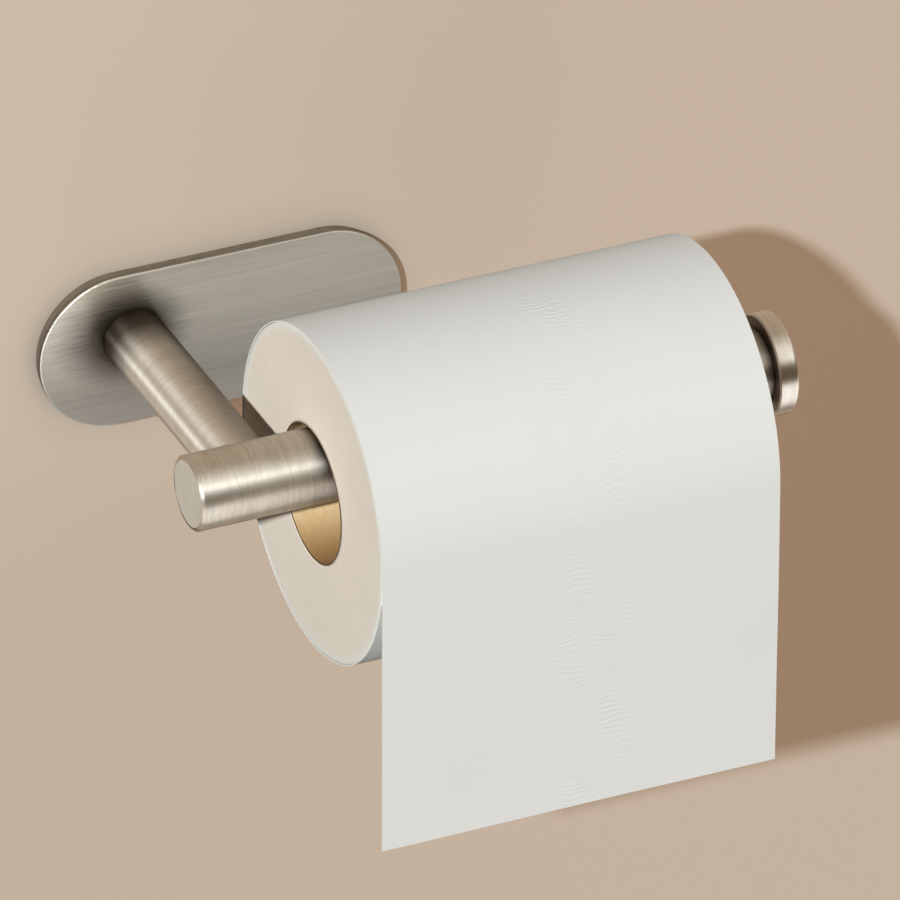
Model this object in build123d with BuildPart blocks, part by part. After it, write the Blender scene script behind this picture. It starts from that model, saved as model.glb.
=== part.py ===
from build123d import *

import os
from math import acos, degrees

# Wall-mounted toilet paper holder: a stadium-shaped plate stuck to the wall, a round post standing
# out from it, and a round bar across the post's end that carries the roll and ends in a small disc.
#
# Millimetres. +X runs along the bar towards its open end, +Y goes into the wall, +Z is up.
# The origin is the centre of the adhesive pad's back face, which lies on the wall's surface.

os.makedirs("parts", exist_ok=True)

# Driving dimensions: wall plate and its adhesive pad
plate_length = 104.8
plate_height = 45.2
plate_thickness = 1.6
plate_edge_radius = 0.5
pad_thickness = 2.9
pad_inset = 0.6

# Post and bar
arm_x = -25.4  # the post's axis, to the left of the plate's centre
arm_z = 3.4  # the post's and the bar's axis, above the plate's centre
reach = 79.7  # from the plate's front face to the bar's axis
post_radius = 8.5
post_wall = 1.5
bar_radius = 10.3
bar_wall = 1.2
bar_left_x = -43.6
bar_right_x = 120.7
bar_end_chamfer = 0.6

# End disc
disc_radius = 14.1
disc_thickness = 5.6
disc_inner_chamfer = 0.4
disc_outer_fillet = 0.9

# Roll of paper: a standard 4.5 inch width on a 38 mm core, and its hanging end
roll_width = 114.0
roll_left_x = -8.4
roll_radius = 46.35
core_inner_radius = 18.95
core_wall = 0.5
sheet_thickness = 0.4
sheet_drop = 84.3  # from the roll's axis to the hanging edge
bar_gap = 0.25  # between the top of the bar and the core that hangs on it
turn_gap = 0.3  # between the wound paper and its outermost turn

# Hidden hardware that clamps plate, post and bar together
seat_gap = 0.02  # between pieces that are pressed together or seated on each other
screw_radius = 2.0
screw_clearance_radius = 2.25
screw_head_radius = 4.0
screw_head_sink = 0.05
screw_engagement = 3.0  # how far the tie screw's tip passes the bar's axis
socket_flats = 2.5
socket_depth = 1.4
root_plug_length = 12.0
pin_radius = 0.75
pin_offset = 5.2  # from the post's axis
pin_depth_in_plug = 3.2
nut_length = 14.0
nut_tip_room = 1.5
cap_depth = 5.0
disc_bush_length = 10.0
stud_radius = 3.0
stud_depth_in_bush = 8.0
stud_depth_in_disc = 3.6
thread_gap = 0.03
plug_chamfer = 0.5

# Places worked out from the dimensions above, as distances out from the wall and heights
plate_front = pad_thickness + plate_thickness
bar_depth = plate_front + reach
bar_bore_radius = bar_radius - bar_wall
post_bore_radius = post_radius - post_wall
roll_z = arm_z + bar_radius + bar_gap - core_inner_radius
core_outer_radius = core_inner_radius + core_wall
wound_radius = roll_radius - sheet_thickness - turn_gap
turn_inner_radius = roll_radius - sheet_thickness
turn_end_angle = degrees(acos(wound_radius / roll_radius)) + 1.0

arm_spot = (arm_x, arm_z)
bar_spot = (-bar_depth, arm_z)
roll_spot = (-bar_depth, roll_z)


def out_of_wall(distance):
    """A plane parallel to the wall that faces the room, that far out from the wall."""
    return Plane.XZ.offset(distance)


def across_bar(x):
    """A plane square to the bar that faces its open end, at that place along it."""
    return Plane.YZ.offset(x)


# Wall plate and what sticks it to the wall

with BuildPart() as wall_plate:
    with BuildSketch(out_of_wall(pad_thickness)):
        SlotOverall(plate_length, plate_height)
    extrude(amount=plate_thickness)
    fillet(wall_plate.faces().sort_by(Axis.Y)[0].edges(), plate_edge_radius)
    with BuildSketch(out_of_wall(pad_thickness)):
        with Locations(arm_spot):
            Circle(screw_head_radius)
    extrude(amount=plate_thickness, taper=45, mode=Mode.SUBTRACT)
    with BuildSketch(out_of_wall(pad_thickness)):
        with Locations((arm_x + pin_offset, arm_z)):
            Circle(pin_radius + seat_gap)
    extrude(amount=plate_thickness, mode=Mode.SUBTRACT)
wall_plate.part.label = "wall_plate"

with BuildPart() as adhesive_pad:
    with BuildSketch(out_of_wall(0)):
        SlotOverall(plate_length - 2 * pad_inset, plate_height - 2 * pad_inset)
    extrude(amount=pad_thickness)
adhesive_pad.part.label = "adhesive_pad"

# Post, its root plug and the pin that stops it turning on the plate

with BuildPart() as post:
    with BuildSketch(out_of_wall(plate_front)):
        with Locations(arm_spot):
            Circle(post_radius)
            Circle(post_bore_radius, mode=Mode.SUBTRACT)
    extrude(amount=reach)
    with BuildSketch(across_bar(arm_x - post_radius - 1)):
        with Locations(bar_spot):
            Circle(bar_radius + seat_gap)
    extrude(amount=2 * post_radius + 2, mode=Mode.SUBTRACT)
post.part.label = "post"

with BuildPart() as post_root_plug:
    with BuildSketch(out_of_wall(plate_front)):
        with Locations(arm_spot):
            Circle(post_bore_radius - seat_gap)
            Circle(screw_clearance_radius, mode=Mode.SUBTRACT)
    extrude(amount=root_plug_length)
    chamfer(post_root_plug.edges().filter_by(GeomType.CIRCLE).group_by(Axis.Y)[-1], 0.4)
    chamfer(post_root_plug.edges().filter_by(GeomType.CIRCLE).group_by(Axis.Y)[0], plug_chamfer)
    with BuildSketch(out_of_wall(plate_front)):
        with Locations((arm_x + pin_offset, arm_z)):
            Circle(pin_radius + seat_gap)
    extrude(amount=pin_depth_in_plug + 0.2, mode=Mode.SUBTRACT)
post_root_plug.part.label = "post_root_plug"

with BuildPart() as locating_pin:
    with BuildSketch(out_of_wall(pad_thickness + 0.1)):
        with Locations((arm_x + pin_offset, arm_z)):
            Circle(pin_radius)
    extrude(amount=plate_thickness - 0.1 + pin_depth_in_plug)
    chamfer(locating_pin.edges().filter_by(GeomType.CIRCLE), 0.15)
locating_pin.part.label = "locating_pin"

# Tie screw: its head sits in the back of the plate and its tip in the nut inside the bar

head_top = pad_thickness + screw_head_sink
head_top_radius = screw_head_radius - screw_head_sink - seat_gap
screw_tip = bar_depth + screw_engagement

with BuildPart() as tie_screw:
    with BuildSketch(Plane.XY.offset(arm_z)):
        with BuildLine(Location((arm_x, 0))):
            Polyline(
                (0, -head_top),
                (head_top_radius, -head_top),
                (screw_radius, -(head_top + head_top_radius - screw_radius)),
                (screw_radius, -(screw_tip - 0.5)),
                (screw_radius - 0.5, -screw_tip),
                (0, -screw_tip),
                close=True,
            )
        make_face()
    revolve(axis=Axis((arm_x, 0, arm_z), (0, 1, 0)))
    with BuildSketch(out_of_wall(head_top)):
        with Locations(arm_spot):
            RegularPolygon(socket_flats / 2, 6, major_radius=False)
    extrude(amount=socket_depth, mode=Mode.SUBTRACT)
tie_screw.part.label = "tie_screw"

# Bar, the nut inside it and the cap that closes its left end

with BuildPart() as roll_bar:
    with BuildSketch(across_bar(bar_left_x)):
        with Locations(bar_spot):
            Circle(bar_radius)
            Circle(bar_bore_radius, mode=Mode.SUBTRACT)
    extrude(amount=bar_right_x - bar_left_x)
    left_rims = roll_bar.edges().filter_by(GeomType.CIRCLE).group_by(Axis.X)[0]
    chamfer(left_rims.sort_by(SortBy.RADIUS)[-1], bar_end_chamfer)
    with BuildSketch(out_of_wall(bar_depth - bar_radius)):
        with Locations(arm_spot):
            Circle(screw_clearance_radius)
    extrude(amount=bar_radius, mode=Mode.SUBTRACT)
roll_bar.part.label = "roll_bar"

with BuildPart() as saddle_nut:
    with BuildSketch(across_bar(arm_x - nut_length / 2)):
        with Locations(bar_spot):
            Circle(bar_bore_radius - seat_gap)
    extrude(amount=nut_length)
    chamfer(saddle_nut.edges().filter_by(GeomType.CIRCLE), plug_chamfer)
    with BuildSketch(out_of_wall(bar_depth - bar_radius)):
        with Locations(arm_spot):
            Circle(screw_radius + thread_gap)
    extrude(amount=bar_radius + screw_engagement + nut_tip_room, mode=Mode.SUBTRACT)
saddle_nut.part.label = "saddle_nut"

with BuildPart() as bar_end_cap:
    with BuildSketch(across_bar(bar_left_x)):
        with Locations(bar_spot):
            Circle(bar_bore_radius - seat_gap)
    extrude(amount=cap_depth)
    chamfer(bar_end_cap.edges().filter_by(GeomType.CIRCLE).group_by(Axis.X)[-1], plug_chamfer)
bar_end_cap.part.label = "bar_end_cap"

# Disc on the open end, the bush in the bar's mouth and the stud that joins them

with BuildPart() as disc_bush:
    with BuildSketch(across_bar(bar_right_x - disc_bush_length)):
        with Locations(bar_spot):
            Circle(bar_bore_radius - seat_gap)
            Circle(stud_radius, mode=Mode.SUBTRACT)
    extrude(amount=disc_bush_length)
    chamfer(disc_bush.edges().filter_by(GeomType.CIRCLE).group_by(Axis.X)[0], plug_chamfer)
disc_bush.part.label = "disc_bush"

with BuildPart() as disc_stud:
    with BuildSketch(across_bar(bar_right_x - stud_depth_in_bush)):
        with Locations(bar_spot):
            Circle(stud_radius - thread_gap)
    extrude(amount=stud_depth_in_bush + stud_depth_in_disc)
    chamfer(disc_stud.edges().filter_by(GeomType.CIRCLE), plug_chamfer)
disc_stud.part.label = "disc_stud"

with BuildPart() as end_disc:
    with BuildSketch(across_bar(bar_right_x + seat_gap)):
        with Locations(bar_spot):
            Circle(disc_radius)
    extrude(amount=disc_thickness)
    chamfer(end_disc.edges().group_by(Axis.X)[0], disc_inner_chamfer)
    fillet(end_disc.edges().group_by(Axis.X)[-1], disc_outer_fillet)
    with BuildSketch(across_bar(bar_right_x)):
        with Locations(bar_spot):
            Circle(stud_radius)
    extrude(amount=stud_depth_in_disc + 0.2, mode=Mode.SUBTRACT)
end_disc.part.label = "end_disc"

# Roll of paper: core, wound paper, outermost turn and the hanging end

with BuildPart() as cardboard_core:
    with BuildSketch(across_bar(roll_left_x)):
        with Locations(roll_spot):
            Circle(core_outer_radius)
            Circle(core_inner_radius, mode=Mode.SUBTRACT)
    extrude(amount=roll_width)
cardboard_core.part.label = "cardboard_core"

with BuildPart() as paper_roll:
    with BuildSketch(across_bar(roll_left_x)):
        with Locations(roll_spot):
            Circle(wound_radius)
            Circle(core_outer_radius + seat_gap, mode=Mode.SUBTRACT)
    extrude(amount=roll_width)
paper_roll.part.label = "paper_roll"

# The turn leaves the hanging end at the front, goes over the top and stops below the front,
# where it dives under the hanging end
with BuildPart() as outer_turn:
    with BuildSketch(across_bar(roll_left_x)):
        with BuildLine(Location((-bar_depth, roll_z))):
            outside = CenterArc((0, 0), roll_radius, 180, turn_end_angle - 360)
            inside = CenterArc((0, 0), turn_inner_radius, 180, turn_end_angle - 360)
            Line(outside @ 0, inside @ 0)
            Line(outside @ 1, inside @ 1)
        make_face()
    extrude(amount=roll_width)
outer_turn.part.label = "outer_turn"

with BuildPart() as loose_sheet:
    with BuildSketch(across_bar(roll_left_x)):
        with Locations((-bar_depth - roll_radius, roll_z - turn_gap)):
            Rectangle(sheet_thickness, sheet_drop - turn_gap, align=(Align.MIN, Align.MAX))
    extrude(amount=roll_width)
loose_sheet.part.label = "loose_sheet"

pieces = [
    wall_plate,
    adhesive_pad,
    post,
    post_root_plug,
    locating_pin,
    tie_screw,
    roll_bar,
    saddle_nut,
    bar_end_cap,
    disc_bush,
    disc_stud,
    end_disc,
    cardboard_core,
    paper_roll,
    outer_turn,
    loose_sheet,
]
for piece in pieces:
    export_step(piece.part, f"parts/{piece.part.label}.step")
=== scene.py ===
from math import atan2, cos, pi, radians, sin

import bmesh
import bpy
from mathutils import Matrix, Quaternion, Vector, noise


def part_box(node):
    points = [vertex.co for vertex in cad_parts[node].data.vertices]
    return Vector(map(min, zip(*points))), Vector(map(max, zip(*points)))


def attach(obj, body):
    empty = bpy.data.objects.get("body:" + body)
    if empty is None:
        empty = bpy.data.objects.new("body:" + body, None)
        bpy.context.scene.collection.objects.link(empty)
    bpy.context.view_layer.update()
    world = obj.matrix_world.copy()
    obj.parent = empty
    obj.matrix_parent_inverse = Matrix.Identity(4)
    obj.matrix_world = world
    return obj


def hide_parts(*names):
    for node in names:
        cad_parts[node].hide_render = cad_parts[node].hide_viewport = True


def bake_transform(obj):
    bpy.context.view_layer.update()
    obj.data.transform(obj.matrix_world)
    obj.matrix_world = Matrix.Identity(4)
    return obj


# A toilet paper holder on a wall: brushed nickel plate, post and bar, an end disc, and a roll of paper
# with its hanging sheet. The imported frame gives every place. This script adds the camera, the light,
# the finishes, and the paper, which is finer than its CAD solids.

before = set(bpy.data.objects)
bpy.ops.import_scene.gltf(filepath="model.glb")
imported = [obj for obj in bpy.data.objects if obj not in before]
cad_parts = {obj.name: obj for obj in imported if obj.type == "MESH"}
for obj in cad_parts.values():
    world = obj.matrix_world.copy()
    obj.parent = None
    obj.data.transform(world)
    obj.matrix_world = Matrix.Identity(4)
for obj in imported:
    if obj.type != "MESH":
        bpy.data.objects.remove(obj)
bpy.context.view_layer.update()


def middle(node):
    """The middle of a CAD node's box."""
    low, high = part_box(node)
    return (low + high) / 2


bar_middle = middle("roll_bar")
post_middle = middle("post")
plate_middle = middle("wall_plate")
roll_middle = middle("cardboard_core")
disc_middle = middle("end_disc")

roll_low, roll_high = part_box("paper_roll")
turn_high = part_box("outer_turn")[1]
core_low, core_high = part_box("cardboard_core")
sheet_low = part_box("loose_sheet")[0]
pad_low, pad_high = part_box("adhesive_pad")

roll_left = roll_low.x
roll_width = roll_high.x - roll_low.x
drop = roll_middle.z - sheet_low.z
wound_radius = (roll_high.z - roll_low.z) / 2
core_radius = (core_high.z - core_low.z) / 2
turn_radius = turn_high.z - roll_middle.z


# Camera

CAMERA_AZIMUTH = radians(-24.06)
CAMERA_ELEVATION = radians(31.09)
CAMERA_ROLL = radians(0.296)
CAMERA_DISTANCE = 3.684
CAMERA_LENS = 560.0
AIM = bar_middle + Vector((-0.0077, -0.0009, -0.0040))


def make_camera():
    """A long lens from the front left, looking down on the holder."""
    back = Vector((
        sin(CAMERA_AZIMUTH) * cos(CAMERA_ELEVATION),
        -cos(CAMERA_AZIMUTH) * cos(CAMERA_ELEVATION),
        sin(CAMERA_ELEVATION),
    ))
    data = bpy.data.cameras.new("camera")
    data.lens = CAMERA_LENS
    data.clip_end = 100.0
    camera = bpy.data.objects.new("camera", data)
    bpy.context.scene.collection.objects.link(camera)
    camera.rotation_mode = "QUATERNION"
    camera.location = AIM + back * CAMERA_DISTANCE
    camera.rotation_quaternion = Quaternion(back, CAMERA_ROLL) @ back.to_track_quat("Z", "Y")
    bpy.context.scene.camera = camera


# Nodes for the materials and the surroundings

def add(tree, kind, inputs=None, **settings):
    """Adds a shader node. An input that is another node's output is joined to it; others are values."""
    node = tree.nodes.new("ShaderNode" + kind)
    for name, value in settings.items():
        setattr(node, name, value)
    for name, value in (inputs or {}).items():
        if isinstance(value, bpy.types.NodeSocket):
            tree.links.new(value, node.inputs[name])
        else:
            node.inputs[name].default_value = value
    return node


def vector_math(tree, operation, first, second):
    """The vector that comes of two vectors."""
    return add(tree, "VectorMath", {0: first, 1: second}, operation=operation).outputs[0]


def number_math(tree, operation, first, second=0.0):
    """The number that comes of one or two numbers."""
    return add(tree, "Math", {0: first, 1: second}, operation=operation).outputs[0]


def place_on(tree, centre=(0, 0, 0)):
    """Places on the piece, measured in metres from that centre."""
    place = add(tree, "TexCoord").outputs["Object"]
    return vector_math(tree, "SUBTRACT", place, tuple(centre))


def noise_at(tree, place, closeness, detail=3.0, roughness=0.55):
    """Noise from 0 to 1. closeness is how many spots there are in a metre along each axis."""
    stretched = vector_math(tree, "MULTIPLY", place, closeness)
    inputs = {"Vector": stretched, "Scale": 1.0, "Detail": detail, "Roughness": roughness}
    return add(tree, "TexNoise", inputs).outputs[0]


def spread(tree, value, low, high, to_low, to_high, **settings):
    """The value, stretched from low...high to to_low...to_high and held inside them."""
    inputs = {
        "Value": value, "From Min": low, "From Max": high, "To Min": to_low, "To Max": to_high,
    }
    return add(tree, "MapRange", inputs, **settings).outputs[0]


def ease(tree, value, low, high):
    """0 where the value is low, 1 where it is high, and a soft step between them."""
    return spread(tree, value, low, high, 0.0, 1.0, interpolation_type="SMOOTHSTEP")


def ramp(tree, value, stops):
    """A colour that runs through the stops, each a place from 0 to 1 and its colour."""
    node = add(tree, "ValToRGB", {"Fac": value})
    elements = node.color_ramp.elements
    while len(elements) < len(stops):
        elements.new(0.5)
    for element, (position, colour) in zip(elements, stops):
        element.position = position
        element.color = (*colour, 1.0)
    return node.outputs["Color"]


def mix_colours(tree, share, first, second):
    """A colour between two, by share."""
    node = add(tree, "Mix", data_type="RGBA")
    for socket, value in ((0, share), (6, first), (7, second)):
        if isinstance(value, bpy.types.NodeSocket):
            tree.links.new(value, node.inputs[socket])
        else:
            node.inputs[socket].default_value = value
    return node.outputs[2]


def bump(tree, height, depth, under=None):
    """Surface relief of that depth in metres where the height goes from 0 to 1."""
    inputs = {"Height": height, "Strength": 1.0, "Distance": depth}
    if under is not None:
        inputs["Normal"] = under
    return add(tree, "Bump", inputs).outputs["Normal"]


def new_material(name):
    """A material, its nodes and its shader."""
    material = bpy.data.materials.new(name)
    material.use_nodes = True
    return material, material.node_tree, material.node_tree.nodes["Principled BSDF"]


def feed(tree, shader, **sockets):
    """Sets the shader's sockets by name, with _ for a space, to values or to other nodes' outputs."""
    for name, value in sockets.items():
        socket = shader.inputs[name.replace("_", " ")]
        if isinstance(value, bpy.types.NodeSocket):
            tree.links.new(value, socket)
        else:
            socket.default_value = value


# Surroundings: a wall that can be seen through from behind, a floor far below, and the light

WALL_COLOUR = (0.365, 0.335, 0.298)
# The wall's emission is painted ambient light that lifts its shadows; the wall is no lamp.
WALL_PAINTED_GLOW = (0.240, 0.140, 0.076)
# The middle of the painted pool of light on the wall.
WALL_PAINTED_LIGHT_MIDDLE = (-0.060, 0.0, 0.090)
FLOOR_COLOUR = (0.78, 0.75, 0.70)
BACKDROP_COLOUR = (0.74, 0.71, 0.66)
FLOOR_BELOW = 0.65
WALL_SPREAD = 60.0
PAINTED_CONTACT_REACH = 0.012  # how far from another piece the wall's painted contact shade reaches
AO_SAMPLES = 12
PAINTED_LIGHT_FADE = (0.02, 0.17)  # the painted pool of light on a paint fades between these distances from its middle
# The share of its colour that a paint keeps outside its painted pool of light.
PAINTED_LIGHT_EDGE_SHARE = 0.81
PAD_INSET = 0.0015
WALL_GAP = 0.0003

SUN_TRAVEL = Vector((0.834, 1.0, -0.70)).normalized()
SUN_COLOUR = (0.902, 0.981, 1.0)
SUN_STRENGTH = 4.03
SUN_SIZE = radians(2.2)
GLINT_STRENGTH = 1.55
GLINT_SIZE = radians(13.0)
WINDOW_TRAVEL = Vector((0.97, 0.12, 0.0))
WINDOW_STRENGTH = 1.35
WINDOW_SIZE = radians(14.0)

ROOM_DARK = (0.13, 0.088, 0.050)
SHADE = (0.11, 0.078, 0.050)
LEFT_SHADE = (0.020, 0.010, 0.003)
WALL_BOUNCE = (0.50, 0.435, 0.36)
SKY_LIGHT = (0.56, 0.52, 0.46)

# What matt surfaces receive, by degrees above the horizon
FLOOR_LIGHT = (1.15, 1.12, 1.08)
WINDOW_LIGHT = (0.60, 0.57, 0.52)
CEILING_LIGHT = (0.42, 0.39, 0.33)
AHEAD = (
    (-90, SHADE), (-77, SHADE), (-64, FLOOR_LIGHT), (-25, FLOOR_LIGHT), (-14, ROOM_DARK),
    (17, ROOM_DARK), (29, WINDOW_LIGHT), (52, WINDOW_LIGHT), (70, CEILING_LIGHT), (90, CEILING_LIGHT),
)
LEFT = ((-90, LEFT_SHADE), (58, LEFT_SHADE), (76, SKY_LIGHT), (90, SKY_LIGHT))
BEHIND = ((-90, WALL_BOUNCE), (5, WALL_BOUNCE), (35, SKY_LIGHT), (90, SKY_LIGHT))

# What metal mirrors, by degrees above the horizon
FLOOR_MIRRORED = (1.58, 1.54, 1.50)
WINDOW_MIRRORED = (1.20, 1.15, 1.07)
CEILING_MIRRORED = (0.46, 0.385, 0.27)
AHEAD_MIRRORED = (
    (-90, SHADE), (-75, SHADE), (-62, FLOOR_MIRRORED), (-25, FLOOR_MIRRORED), (-15, ROOM_DARK),
    (18, ROOM_DARK), (30, WINDOW_MIRRORED), (58, WINDOW_MIRRORED), (69, CEILING_MIRRORED),
    (90, CEILING_MIRRORED),
)
BEHIND_MIRRORED = (
    (-90, LEFT_SHADE), (5, LEFT_SHADE), (35, CEILING_MIRRORED), (90, CEILING_MIRRORED),
)


def one_sided(name, colour, painted_glow=None, painted_light_middle=(0, 0, 0)):
    """A matt paint that shows only from its front, with a painted pool of light about one place.

    Where it glows, its emission is painted ambient light, and it fades close to another piece as
    painted contact shade.
    """
    material = bpy.data.materials.new(name)
    material.use_nodes = True
    tree = material.node_tree
    tree.nodes.remove(tree.nodes["Principled BSDF"])
    away = add(
        tree, "VectorMath", {0: place_on(tree, painted_light_middle)}, operation="LENGTH"
    ).outputs["Value"]
    # Painted pool of light: the paint darkens away from one place.
    share = ease(tree, away, *PAINTED_LIGHT_FADE)
    darker = tuple(PAINTED_LIGHT_EDGE_SHARE * c for c in colour)
    shade = mix_colours(tree, share, (*colour, 1.0), (*darker, 1.0))
    front = add(tree, "BsdfDiffuse", {"Color": shade}).outputs[0]
    if painted_glow:
        # Painted ambient light, faded near other pieces as painted contact shade.
        painted_contact_shade = add(
            tree, "AmbientOcclusion", {"Distance": PAINTED_CONTACT_REACH}, samples=AO_SAMPLES
        ).outputs["AO"]
        light = add(tree, "Emission", {"Color": (*painted_glow, 1.0), "Strength": painted_contact_shade}).outputs[0]
        front = add(tree, "AddShader", {0: front, 1: light}).outputs[0]
    clear = add(tree, "BsdfTransparent").outputs[0]
    behind = add(tree, "NewGeometry").outputs["Backfacing"]
    both = add(tree, "MixShader", {0: behind, 1: front, 2: clear})
    tree.links.new(both.outputs[0], tree.nodes["Material Output"].inputs["Surface"])
    return material


def mesh_object(name, shape, material, smooth=False):
    """Turns a finished bmesh into an object of that name and material."""
    mesh = bpy.data.meshes.new(name)
    for face in shape.faces:
        face.smooth = smooth
    shape.to_mesh(mesh)
    shape.free()
    mesh.materials.append(material)
    piece = bpy.data.objects.new(name, mesh)
    bpy.context.scene.collection.objects.link(piece)
    return piece


def make_wall():
    """The wall's surface, with an opening behind the pad so that light reaches the pad's back."""
    opening_radius = (pad_high.z - pad_low.z) / 2 - PAD_INSET
    half_straight = (pad_high.x - pad_low.x) / 2 - opening_radius - PAD_INSET
    shape = bmesh.new()
    bmesh.ops.create_circle(
        shape, segments=64, radius=opening_radius, matrix=Matrix.Rotation(radians(90), 4, "X")
    )
    for side in (-1, 1):
        end = [v for v in shape.verts if v.co.x * side > 0]
        bmesh.ops.translate(shape, verts=end, vec=(side * half_straight, 0, 0))
    grown = bmesh.ops.extrude_edge_only(shape, edges=shape.edges[:])["geom"]
    rim = [v for v in grown if isinstance(v, bmesh.types.BMVert)]
    bmesh.ops.scale(shape, verts=rim, vec=(WALL_SPREAD,) * 3)
    bmesh.ops.recalc_face_normals(shape, faces=shape.faces[:])
    if shape.faces[:][0].normal.y > 0:
        bmesh.ops.reverse_faces(shape, faces=shape.faces[:])
    bmesh.ops.translate(shape, verts=shape.verts[:], vec=(0, pad_high.y + WALL_GAP, 0))
    paint = one_sided("wall_paint_with_painted_light", WALL_COLOUR, WALL_PAINTED_GLOW, WALL_PAINTED_LIGHT_MIDDLE)
    wall = mesh_object("wall", shape, paint)
    wall.visible_diffuse = False
    return wall


def make_floor():
    """A pale floor far below the holder, there only for views that look down past it."""
    shape = bmesh.new()
    bmesh.ops.create_grid(
        shape, x_segments=1, y_segments=1, size=3.0, matrix=Matrix.Translation((0, 0, -FLOOR_BELOW))
    )
    floor = mesh_object("floor", shape, one_sided("floor_paint", FLOOR_COLOUR))
    floor.visible_diffuse = False
    floor.visible_glossy = False
    floor.visible_transmission = False
    floor.visible_shadow = False
    return floor


def light_by_height(tree, height, bands):
    """The light of the room by how high it comes from, in degrees above the horizon."""
    stops = [((sin(radians(angle)) + 1) / 2, colour) for angle, colour in bands]
    return ramp(tree, spread(tree, height, -1.0, 1.0, 0.0, 1.0), stops)


def make_room_light():
    """Soft light from the room: bright floor ahead, dark horizon, window height and ceiling.

    Metal mirrors another room than matt surfaces receive: brighter in front, the same on the
    left as in front, and dark behind. The camera sees a plain backdrop past the wall.
    """
    world = bpy.data.worlds.new("room")
    world.use_nodes = True
    bpy.context.scene.world = world
    tree = world.node_tree
    direction = add(tree, "TexCoord").outputs["Generated"]
    parts = add(tree, "SeparateXYZ", {0: direction}).outputs
    rays = add(tree, "LightPath").outputs
    to_front = spread(tree, parts["X"], -0.15, 0.10, 0.0, 1.0)
    to_back = spread(tree, parts["Y"], -0.02, 0.08, 0.0, 1.0)
    ahead, left, behind = (
        light_by_height(tree, parts["Z"], bands) for bands in (AHEAD, LEFT, BEHIND)
    )
    soft = mix_colours(tree, to_front, left, mix_colours(tree, to_back, ahead, behind))
    ahead_mirrored, behind_mirrored = (
        light_by_height(tree, parts["Z"], bands) for bands in (AHEAD_MIRRORED, BEHIND_MIRRORED)
    )
    mirrored = mix_colours(tree, to_back, ahead_mirrored, behind_mirrored)
    room = mix_colours(tree, rays["Is Glossy Ray"], soft, mirrored)
    colour = mix_colours(tree, rays["Is Camera Ray"], room, (*BACKDROP_COLOUR, 1.0))
    tree.links.new(colour, tree.nodes["Background"].inputs["Color"])


def make_sun(name, travel, colour, strength, size):
    """A far light of that size in the sky, shining that way."""
    data = bpy.data.lights.new(name, "SUN")
    data.color = colour
    data.energy = strength
    data.angle = size
    sun = bpy.data.objects.new(name, data)
    sun.rotation_mode = "QUATERNION"
    sun.rotation_quaternion = travel.to_track_quat("-Z", "Y")
    bpy.context.scene.collection.objects.link(sun)
    return sun


def make_lights():
    """The key light from high on the left in front, its wide glint, and a low window's glint."""
    key = make_sun("key_light", SUN_TRAVEL, SUN_COLOUR, SUN_STRENGTH, SUN_SIZE)
    key.visible_glossy = False
    glint = make_sun("key_glint", SUN_TRAVEL, SUN_COLOUR, GLINT_STRENGTH, GLINT_SIZE)
    window = make_sun("left_window", WINDOW_TRAVEL, SUN_COLOUR, WINDOW_STRENGTH, WINDOW_SIZE)
    for light in (glint, window):
        light.visible_diffuse = False


# Metal finishes

# The colour of all painted shade on the metal: in corners and where the shade functions below put it.
PAINTED_METAL_SHADE = (0.045, 0.032, 0.022)
UNDER_AND_BACK = (0.0, 0.45, -0.89)
# The share of its tone that the painted shade leaves under round pieces.
PAINTED_UNDERSIDE_SHARE = 0.32
TO_ROLL = (0.829, 0.0, 0.559)
AWAY_FROM_ROLL = (-0.829, 0.0, -0.559)
ROOT_SHADOW = Vector((-0.0040, 0.0, 0.0020))  # from the post's middle to the middle of the painted shade round its root
POST_RADIUS = (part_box("post")[1].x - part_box("post")[0].x) / 2
BAR_RADIUS = (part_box("roll_bar")[1].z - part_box("roll_bar")[0].z) / 2
DISC_RADIUS = (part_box("end_disc")[1].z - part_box("end_disc")[0].z) / 2
plate_low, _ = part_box("wall_plate")


def lengthwise(tree, centre, axis, along, across):
    """Places for scratches that run along an axis: far apart along it, close together across it."""
    closeness = [across] * 3
    closeness[axis] = along
    return vector_math(tree, "MULTIPLY", place_on(tree, centre), tuple(closeness))


def turned(tree, centre, axis, around, across):
    """Places for scratches that run round an axis: across counts along the axis and out from it."""
    place = place_on(tree, centre)
    only_out = [1.0] * 3
    only_out[axis] = 0.0
    out = vector_math(tree, "MULTIPLY", place, tuple(only_out))
    heading = add(tree, "VectorMath", {0: out}, operation="NORMALIZE").outputs[0]
    radius = add(tree, "VectorMath", {0: out}, operation="LENGTH").outputs["Value"]
    along = add(tree, "SeparateXYZ", {0: place}).outputs[axis]
    step = number_math(tree, "MULTIPLY", number_math(tree, "ADD", along, radius), across)
    round_part = vector_math(tree, "MULTIPLY", heading, (around,) * 3)
    ends = ["X", "Y", "Z"]
    straight = add(tree, "CombineXYZ", {ends[axis]: step}).outputs[0]
    return vector_math(tree, "ADD", round_part, straight)


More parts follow.
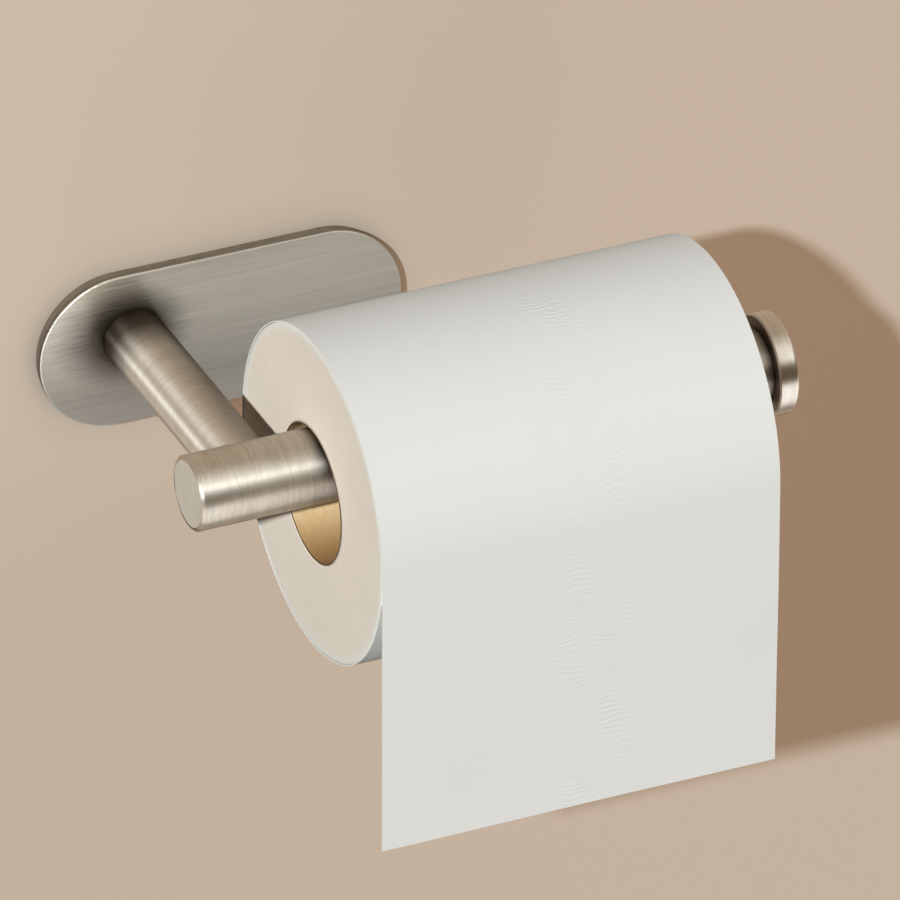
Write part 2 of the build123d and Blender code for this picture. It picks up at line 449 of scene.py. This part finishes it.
def brushed(name, make_place, tangent_axis, roughness, smear, depth, reach, tones, painted_shade=None):
    """Nickel brushed in fine scratches, with painted shade in corners.

    make_place gives the places that the scratches follow. smear is how far a highlight spreads
    across the scratches, and reach is how far the painted corner shade comes out of a corner. A
    shading function, if given, paints more shade: a share, from 0 to 1, of how much of its own tone
    each place keeps.
    """
    material, tree, shader = new_material(name)
    place = make_place(tree)
    fine = noise_at(tree, place, (1.0, 1.0, 1.0), 4.0, 0.65)
    coarse = noise_at(tree, place, (0.31, 0.31, 0.31), 2.0, 0.5)
    cloudy = noise_at(tree, place_on(tree), (70.0, 70.0, 70.0), 3.0)
    relief = number_math(tree, "ADD", fine, number_math(tree, "MULTIPLY", coarse, 0.7))
    shade = spread(tree, relief, 0.60, 1.10, 0.0, 1.0)
    tone = mix_colours(tree, shade, (*tones[0], 1.0), (*tones[1], 1.0))
    # Painted corner shade: the tone darkens close to other surfaces.
    corner = add(tree, "AmbientOcclusion", {"Distance": reach}, samples=AO_SAMPLES).outputs["AO"]
    open_share = spread(tree, corner, 0.50, 0.86, 0.0, 1.0)
    if painted_shade:
        open_share = number_math(tree, "MULTIPLY", open_share, painted_shade(tree, fine))
    worn = number_math(tree, "ADD", number_math(tree, "MULTIPLY", cloudy, 0.08), roughness - 0.04)
    feed(
        tree, shader,
        Base_Color=mix_colours(tree, open_share, (*PAINTED_METAL_SHADE, 1.0), tone),
        Metallic=1.0,
        Roughness=worn,
        Normal=bump(tree, relief, depth),
    )
    if smear:
        feed(
            tree, shader,
            Anisotropic=smear,
            Anisotropic_Rotation=0.25,
            Tangent=add(tree, "Tangent", direction_type="RADIAL", axis=tangent_axis).outputs[0],
        )
    return material


X_AXIS, Y_AXIS, Z_AXIS = 0, 1, 2


def painted_side_shade(tree, centre, direction, radius, start, full, share):
    """Paints shade on one side of a round piece, dimming it to that share.

    start and full, as shares of its radius, are where the dimming begins and ends on the way to
    that side.
    """
    step = tuple(c / radius for c in direction)
    facing = add(tree, "VectorMath", {0: place_on(tree, centre), 1: step}, operation="DOT_PRODUCT")
    return spread(tree, facing.outputs["Value"], start, full, 1.0, share)


def plate_painted_shade(tree, scratches):
    """Painted shade on the plate: dark round the post's root, raggedly along the scratches, for the
    dark it would mirror there, and dimmer low down as a painted darker reflection.
    """
    place = place_on(tree, post_middle + ROOT_SHADOW)
    flat = vector_math(tree, "MULTIPLY", place, (0.85, 0.0, 1.10))
    away = add(tree, "VectorMath", {0: flat}, operation="LENGTH").outputs["Value"]
    ragged = number_math(tree, "ADD", away, number_math(tree, "MULTIPLY", scratches, 0.010))
    root = spread(tree, ragged, POST_RADIUS + 0.0035, POST_RADIUS + 0.0140, 0.17, 1.0)
    height = add(tree, "SeparateXYZ", {0: place_on(tree, plate_middle)}).outputs["Z"]
    return number_math(tree, "MULTIPLY", root, spread(tree, height, -0.010, 0.015, 0.45, 1.0))


def plate_finish():
    """Nickel with long scratches along the plate."""
    return brushed(
        "plate_nickel", lambda tree: lengthwise(tree, plate_middle, X_AXIS, 55.0, 2600.0),
        tangent_axis="Z", roughness=0.45, smear=0.8, depth=0.000012, reach=0.020,
        tones=((0.71, 0.69, 0.63), (0.85, 0.825, 0.755)), painted_shade=plate_painted_shade,
    )


def bar_painted_shade(tree, _scratches):
    """Painted shade: the bar is dim underneath and on its side towards the wall."""
    return painted_side_shade(
        tree, bar_middle, UNDER_AND_BACK, BAR_RADIUS, start=0.15, full=0.52, share=PAINTED_UNDERSIDE_SHARE
    )


def bar_finish():
    """Nickel with scratches round the bar, from turning it against a belt."""
    return brushed(
        "bar_nickel", lambda tree: turned(tree, bar_middle, X_AXIS, 2.2, 2300.0),
        tangent_axis="X", roughness=0.48, smear=0.85, depth=0.000014, reach=0.006,
        tones=((0.565, 0.52, 0.455), (0.735, 0.69, 0.62)), painted_shade=bar_painted_shade,
    )


def post_painted_shade(tree, _scratches):
    """Painted shade on the post: dark close to the plate, and dimmer facing the roll and on its far
    side, for the dark it would mirror there.
    """
    place = place_on(tree, (post_middle.x, plate_low.y, post_middle.z))
    parts = add(tree, "SeparateXYZ", {0: place}).outputs
    out = number_math(tree, "MULTIPLY", parts["Y"], -1.0)
    lean = number_math(tree, "MULTIPLY", parts["Z"], -0.35)
    root = spread(tree, number_math(tree, "ADD", out, lean), 0.0045, 0.0175, 0.10, 1.0)
    roll_side = painted_side_shade(
        tree, post_middle, TO_ROLL, POST_RADIUS, start=0.25, full=1.0, share=0.28
    )
    far_side = painted_side_shade(
        tree, post_middle, AWAY_FROM_ROLL, POST_RADIUS, start=0.86, full=0.99, share=0.40
    )
    return number_math(tree, "MULTIPLY", root, number_math(tree, "MULTIPLY", roll_side, far_side))


def post_finish():
    """Nickel with scratches round the post."""
    return brushed(
        "post_nickel", lambda tree: turned(tree, post_middle, Y_AXIS, 2.0, 2300.0),
        tangent_axis="Y", roughness=0.46, smear=0.88, depth=0.000010, reach=0.012,
        tones=((0.56, 0.51, 0.445), (0.69, 0.64, 0.57)), painted_shade=post_painted_shade,
    )


def face_finish():
    """Nickel of the bar's flat end, brushed straight across."""
    return brushed(
        "end_face_nickel", lambda tree: lengthwise(tree, bar_middle, Z_AXIS, 90.0, 2300.0),
        tangent_axis="X", roughness=0.64, smear=0.0, depth=0.000004, reach=0.004,
        tones=((0.565, 0.55, 0.505), (0.615, 0.60, 0.55)),
    )


def disc_painted_shade(tree, _scratches):
    """Painted shade: the disc's rim is dim underneath."""
    return painted_side_shade(
        tree, disc_middle, UNDER_AND_BACK, DISC_RADIUS, start=0.25, full=0.56, share=PAINTED_UNDERSIDE_SHARE
    )


def disc_finish():
    """Nickel of the end disc, turned in a lathe."""
    return brushed(
        "disc_nickel", lambda tree: turned(tree, disc_middle, X_AXIS, 2.0, 2600.0),
        tangent_axis="X", roughness=0.36, smear=0.85, depth=0.000008, reach=0.018,
        tones=((0.58, 0.54, 0.485), (0.74, 0.695, 0.63)), painted_shade=disc_painted_shade,
    )


def hardware_finish():
    """Bright zinc-plated steel with a faint cloudy plating."""
    material, tree, shader = new_material("plated_steel")
    place = place_on(tree)
    cloudy = noise_at(tree, place, (260.0, 260.0, 260.0), 4.0)
    tool_marks = noise_at(tree, place, (1900.0, 500.0, 1900.0), 3.0)
    tone = ramp(tree, cloudy, [(0.3, (0.42, 0.41, 0.38)), (0.7, (0.56, 0.55, 0.53))])
    feed(
        tree, shader,
        Base_Color=tone,
        Metallic=1.0,
        Roughness=spread(tree, tool_marks, 0.3, 0.7, 0.28, 0.48),
        Normal=bump(tree, tool_marks, 0.000008),
    )
    return material


def foam_finish():
    """Dark closed-cell foam of the adhesive pad."""
    material, tree, shader = new_material("foam_tape")
    place = place_on(tree)
    cells = add(tree, "TexVoronoi", {"Vector": place, "Scale": 2600.0}).outputs["Distance"]
    cloudy = noise_at(tree, place, (220.0, 220.0, 220.0), 3.0)
    tone = ramp(tree, cloudy, [(0.3, (0.15, 0.112, 0.078)), (0.7, (0.21, 0.158, 0.112))])
    feed(
        tree, shader,
        Base_Color=tone,
        Roughness=spread(tree, cells, 0.0, 0.7, 0.78, 0.95),
        Normal=bump(tree, cells, 0.00012),
    )
    return material


# Paper finishes

TISSUE = (0.655, 0.619, 0.592)
RIM_PAINTED_HIGHLIGHT = (0.90, 0.825, 0.73)
DARK_CREAM = (0.90, 0.735, 0.60)
LIGHT_CREAM = (0.94, 0.785, 0.65)
LAP_LINE = (0.80, 0.68, 0.55)

KRAFT_DARK = (0.76, 0.52, 0.27)
KRAFT_LIGHT = (0.93, 0.70, 0.41)
KRAFT_SEAM = (0.30, 0.19, 0.09)
KRAFT_PAINTED_LOW_SHADE = (0.44, 0.235, 0.085)
KRAFT_PAINTED_DEEP_SHADE = (0.05, 0.028, 0.012)
KRAFT_CUT = (0.13, 0.075, 0.035)
BOARD_REACH = 0.012  # how far from other surfaces the painted shade inside the core reaches
BOARD_LEAD = 0.062  # how far along the core the board's seam goes in one turn


def radius_on(tree, centre):
    """How far a place is from the roll's axis, in metres."""
    flat = vector_math(tree, "MULTIPLY", place_on(tree, centre), (0.0, 1.0, 1.0))
    return add(tree, "VectorMath", {0: flat}, operation="LENGTH").outputs["Value"]


def wound_finish():
    """The roll's end faces: the cut edges of many turns, creamier than the paper's face, partly the cut
    edges' own colour and partly painted warm bounce light.
    """
    material, tree, shader = new_material("wound_tissue")
    place = place_on(tree, roll_middle)
    radius = radius_on(tree, roll_middle)
    laps = add(
        tree, "TexNoise", {"W": radius, "Scale": 2600.0, "Detail": 3.0}, noise_dimensions="1D"
    ).outputs[0]
    fuzz = noise_at(tree, place, (1500.0, 1500.0, 1500.0), 4.0)
    cloudy = noise_at(tree, place, (45.0, 45.0, 45.0), 3.0)
    # Painted highlight: a lighter ring along the rounded outer rim.
    outer = spread(tree, radius, wound_radius - 0.0022, wound_radius - 0.0004, 0.0, 1.0)
    cream = ramp(tree, cloudy, [(0.3, DARK_CREAM), (0.7, LIGHT_CREAM)])
    lap_share = spread(tree, laps, 0.25, 0.75, 0.0, 0.22)
    ringed = mix_colours(tree, lap_share, cream, (*LAP_LINE, 1.0))
    tone = mix_colours(tree, outer, ringed, (*RIM_PAINTED_HIGHLIGHT, 1.0))
    relief = number_math(tree, "ADD", laps, number_math(tree, "MULTIPLY", fuzz, 0.5))
    feed(
        tree, shader,
        Base_Color=tone,
        Roughness=0.95,
        Specular_IOR_Level=0.15,
        Normal=bump(tree, relief, 0.00006),
        Sheen_Weight=0.15,
        Sheen_Roughness=0.6,
    )
    return material


EMBOSS_LEFT = 0.044
EMBOSS_RIGHT = 0.077


def sheet_finish():
    """Soft tissue: fine crepe, faint fibre clouds and a band of shallow embossed ripples."""
    material, tree, shader = new_material("tissue_sheet")
    place = add(tree, "UVMap", uv_map="paper").outputs["UV"]
    crepe = noise_at(tree, place, (900.0, 2600.0, 1.0), 3.0)
    fibres = noise_at(tree, place, (420.0, 420.0, 1.0), 5.0, 0.6)
    cloudy = noise_at(tree, place, (28.0, 28.0, 1.0), 3.0)
    patches = noise_at(tree, place, (75.0, 42.0, 1.0), 2.0)
    across = add(tree, "SeparateXYZ", {0: place}).outputs["X"]
    rise = spread(tree, across, EMBOSS_LEFT, EMBOSS_LEFT + 0.010, 0.0, 1.0)
    fall = spread(tree, across, EMBOSS_RIGHT - 0.010, EMBOSS_RIGHT, 1.0, 0.0)
    band = number_math(tree, "MULTIPLY", rise, fall)
    pressed = number_math(tree, "MULTIPLY", band, spread(tree, patches, 0.44, 0.62, 0.0, 1.0))
    bent = vector_math(tree, "MULTIPLY", place, (0.55, 1.0, 0.0))
    ripples = add(
        tree, "TexWave",
        {"Vector": bent, "Scale": 190.0, "Distortion": 7.0, "Detail": 1.0, "Detail Scale": 1.8},
        bands_direction="Y",
    ).outputs["Fac"]
    emboss = number_math(tree, "MULTIPLY", ripples, pressed)
    tone = ramp(tree, cloudy, [(0.3, tuple(0.985 * c for c in TISSUE)), (0.7, TISSUE)])
    soft = bump(tree, number_math(tree, "ADD", crepe, fibres), 0.00003)
    feed(
        tree, shader,
        Base_Color=tone,
        Roughness=0.95,
        Specular_IOR_Level=0.15,
        Normal=bump(tree, emboss, 0.00008, soft),
        Sheen_Weight=0.2,
        Sheen_Roughness=0.6,
    )
    return material


def board_finish():
    """Golden kraft board of the core, wound in a helix with a faint seam, with painted shade deep
    inside it and low down in it.
    """
    material, tree, shader = new_material("kraft_board")
    place = place_on(tree, roll_middle)
    fibres = noise_at(tree, place, (900.0, 260.0, 260.0), 4.0, 0.6)
    cloudy = noise_at(tree, place, (60.0, 60.0, 60.0), 3.0)
    parts = add(tree, "SeparateXYZ", {0: place}).outputs
    turn = number_math(tree, "ARCTAN2", parts["Y"], parts["Z"])
    lead = number_math(tree, "MULTIPLY", parts["X"], 2 * pi / BOARD_LEAD)
    seam = add(tree, "Math", {0: number_math(tree, "ADD", turn, lead)}, operation="SINE").outputs[0]
    edge = spread(tree, seam, 0.992, 0.999, 0.0, 0.5)
    blotches = number_math(
        tree, "ADD", number_math(tree, "MULTIPLY", fibres, 0.6),
        number_math(tree, "MULTIPLY", cloudy, 0.4),
    )
    tone = ramp(tree, blotches, [(0.32, KRAFT_DARK), (0.68, KRAFT_LIGHT)])
    from_middle = number_math(tree, "ABSOLUTE", parts["X"])
    cut = spread(tree, from_middle, roll_width / 2 - 0.0002, roll_width / 2 - 0.0001, 0.0, 1.0)
    # Painted shade deep inside the core, close to other surfaces.
    deep = add(
        tree, "AmbientOcclusion", {"Distance": BOARD_REACH}, samples=AO_SAMPLES
    ).outputs["AO"]
    seamed = mix_colours(tree, edge, tone, (*KRAFT_SEAM, 1.0))
    # Painted shade: the core's inside is darker low down.
    low_down = spread(tree, parts["Z"], -core_radius, -0.62 * core_radius, 0.0, 1.0)
    seamed = mix_colours(tree, low_down, (*KRAFT_PAINTED_LOW_SHADE, 1.0), seamed)
    open_share = spread(tree, deep, 0.27, 0.54, 0.0, 1.0)
    open_board = mix_colours(tree, open_share, (*KRAFT_PAINTED_DEEP_SHADE, 1.0), seamed)
    feed(
        tree, shader,
        Base_Color=mix_colours(tree, cut, open_board, (*KRAFT_CUT, 1.0)),
        Roughness=0.82,
        Specular_IOR_Level=0.25,
        Normal=bump(tree, fibres, 0.00003),
    )
    return material


# Paper pieces

LAPS = 26
ROLL_STEPS = 180
WIDTH_STEPS = 30
HAIR = 1e-6  # lengths that count as nothing
ROUNDED_EDGE = 0.0006
END_UNEVENNESS = 0.00018
END_DEPTH = 0.0002  # how near an end a place still counts as on it
CORE_GAP = 0.00002
TURN_GAP = 0.00008

SHEET_COLUMNS = 76
SHEET_THICKNESS = 0.00032
TURN_STEPS = 240
TURN_END = radians(11.0)
HANG_WAVE = 0.0005
HANG_STEPS = 56
FRONT_BAND = 0.001  # how far in from the roll's front a place still counts as hanging


def make_wound_roll(material):
    """The wound paper: a ring with softened outer edges and slightly uneven laps on its ends."""
    inner = core_radius + CORE_GAP
    outer = turn_radius - SHEET_THICKNESS - TURN_GAP
    shape = bmesh.new()
    corners = [
        shape.verts.new((x, roll_middle.y, roll_middle.z + radius))
        for x, radius in (
            (roll_low.x, inner), (roll_low.x, outer),
            (roll_high.x, outer), (roll_high.x, inner),
        )
    ]
    for i in range(4):
        shape.edges.new((corners[i], corners[(i + 1) % 4]))
    bmesh.ops.bevel(
        shape, geom=[corners[1], corners[2]], affect="VERTICES", offset=ROUNDED_EDGE, segments=4,
        profile=0.5, material=-1,
    )
    straight = [e for e in shape.edges if e.calc_length() > 2 * ROUNDED_EDGE]
    upright = [e for e in straight if abs(e.verts[0].co.x - e.verts[1].co.x) < HAIR]
    outside = [e for e in straight if min(v.co.z for v in e.verts) > roll_middle.z + outer - HAIR]
    bmesh.ops.subdivide_edges(shape, edges=upright, cuts=LAPS)
    bmesh.ops.subdivide_edges(shape, edges=outside, cuts=WIDTH_STEPS)
    bmesh.ops.spin(
        shape, geom=shape.verts[:] + shape.edges[:], cent=roll_middle, axis=(1, 0, 0),
        angle=2 * pi, steps=ROLL_STEPS, use_merge=True,
    )
    bmesh.ops.remove_doubles(shape, verts=shape.verts[:], dist=HAIR)
    bmesh.ops.recalc_face_normals(shape, faces=shape.faces[:])
    for vert in shape.verts:
        arm = Vector((0, vert.co.y - roll_middle.y, vert.co.z - roll_middle.z))
        side = 1 if vert.co.x > roll_middle.x else -1
        on_end = abs(vert.co.x - roll_middle.x) > roll_width / 2 - END_DEPTH
        if on_end and inner + 0.0004 < arm.length:
            ring = noise.noise(Vector((arm.length * 900, side * 7.0, 0)))
            cloud = noise.noise(arm * 60 + Vector((side * 3.0, 0, 0)))
            dip = 0.5 + 0.25 * ring + 0.35 * cloud
            vert.co.x -= side * END_UNEVENNESS * max(0.0, dip)
    return mesh_object("wound_roll", shape, material, smooth=True)


def make_paper_sheet(material, edge_material):
    """The outermost turn and the hanging sheet: one strip that leaves the roll at its front."""
    middle_line = turn_radius - SHEET_THICKNESS / 2
    front = roll_middle.y - middle_line
    shape = bmesh.new()
    row = [
        shape.verts.new((roll_left + roll_width * i / SHEET_COLUMNS, front, roll_middle.z))
        for i in range(SHEET_COLUMNS + 1)
    ]
    tangent = [shape.edges.new(pair) for pair in zip(row, row[1:])]
    below = tangent
    for _ in range(HANG_STEPS):
        grown = bmesh.ops.extrude_edge_only(shape, edges=below)["geom"]
        lower = [v for v in grown if isinstance(v, bmesh.types.BMVert)]
        bmesh.ops.translate(shape, verts=lower, vec=(0, 0, -drop / HANG_STEPS))
        edges = [e for e in grown if isinstance(e, bmesh.types.BMEdge)]
        below = [e for e in edges if all(v in lower for v in e.verts)]
    bmesh.ops.spin(
        shape, geom=tangent, cent=roll_middle, axis=(-1, 0, 0),
        angle=2 * pi - TURN_END, steps=TURN_STEPS,
    )
    bmesh.ops.remove_doubles(shape, verts=shape.verts[:], dist=HAIR)
    bmesh.ops.recalc_face_normals(shape, faces=shape.faces[:])
    map_paper(shape)
    for vert in shape.verts:
        hang = max(0.0, roll_middle.z - vert.co.z) / drop
        if vert.co.y < roll_middle.y - turn_radius + FRONT_BAND:
            wave = noise.noise(Vector((vert.co.x * 14, 3.0, vert.co.z * 17)))
            vert.co.y += HANG_WAVE * wave * min(1.0, 2 * hang)
    piece = mesh_object("paper_sheet", shape, material, smooth=True)
    piece.data.materials.append(edge_material)
    thickness = piece.modifiers.new("thickness", "SOLIDIFY")
    thickness.thickness = SHEET_THICKNESS
    thickness.offset = 0.0
    thickness.material_offset_rim = 1
    settle(piece)
    rim = [face for face in piece.data.polygons if face.material_index == 1]
    sharp = {key for face in rim for key in face.edge_keys}
    for face in rim:
        face.use_smooth = False
    for edge in piece.data.edges:
        edge.use_edge_sharp = edge.key in sharp
    return piece


def settle(piece):
    """Makes what the modifiers give the piece's own mesh."""
    seen = piece.evaluated_get(bpy.context.evaluated_depsgraph_get())
    piece.data = bpy.data.meshes.new_from_object(seen)
    piece.modifiers.clear()


def along_paper(place):
    """How far along the strip a place is: 0 where it leaves the roll, more up and over the top."""
    if place.z <= roll_middle.z and place.y < roll_middle.y - turn_radius + FRONT_BAND:
        return place.z - roll_middle.z
    angle = atan2(place.z - roll_middle.z, roll_middle.y - place.y) % (2 * pi)
    return angle * turn_radius


def map_paper(shape):
    """Lays the strip flat in a UV map, in metres: across the roll and along the paper."""
    layer = shape.loops.layers.uv.new("paper")
    for face in shape.faces:
        for loop in face.loops:
            place = loop.vert.co
            loop[layer].uv = (place.x - roll_left, along_paper(place))


# Everything together

def dress(node, material):
    """Gives a CAD node its finish."""
    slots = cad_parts[node].data.materials
    slots.clear()
    slots.append(material)


bpy.context.scene.view_settings.view_transform = "Standard"
make_camera()
make_wall()
make_floor()
make_room_light()
make_lights()

hardware = hardware_finish()
dress("wall_plate", plate_finish())
dress("adhesive_pad", foam_finish())
dress("post", post_finish())
dress("roll_bar", bar_finish())
dress("bar_end_cap", face_finish())
dress("end_disc", disc_finish())
dress("cardboard_core", board_finish())
for node in ("post_root_plug", "locating_pin", "tie_screw", "saddle_nut", "disc_bush", "disc_stud"):
    dress(node, hardware)

wound_material = wound_finish()
wound_roll = make_wound_roll(wound_material)
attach(wound_roll, "roll")
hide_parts("paper_roll")

paper_sheet = make_paper_sheet(sheet_finish(), wound_material)
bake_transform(paper_sheet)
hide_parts("outer_turn", "loose_sheet")
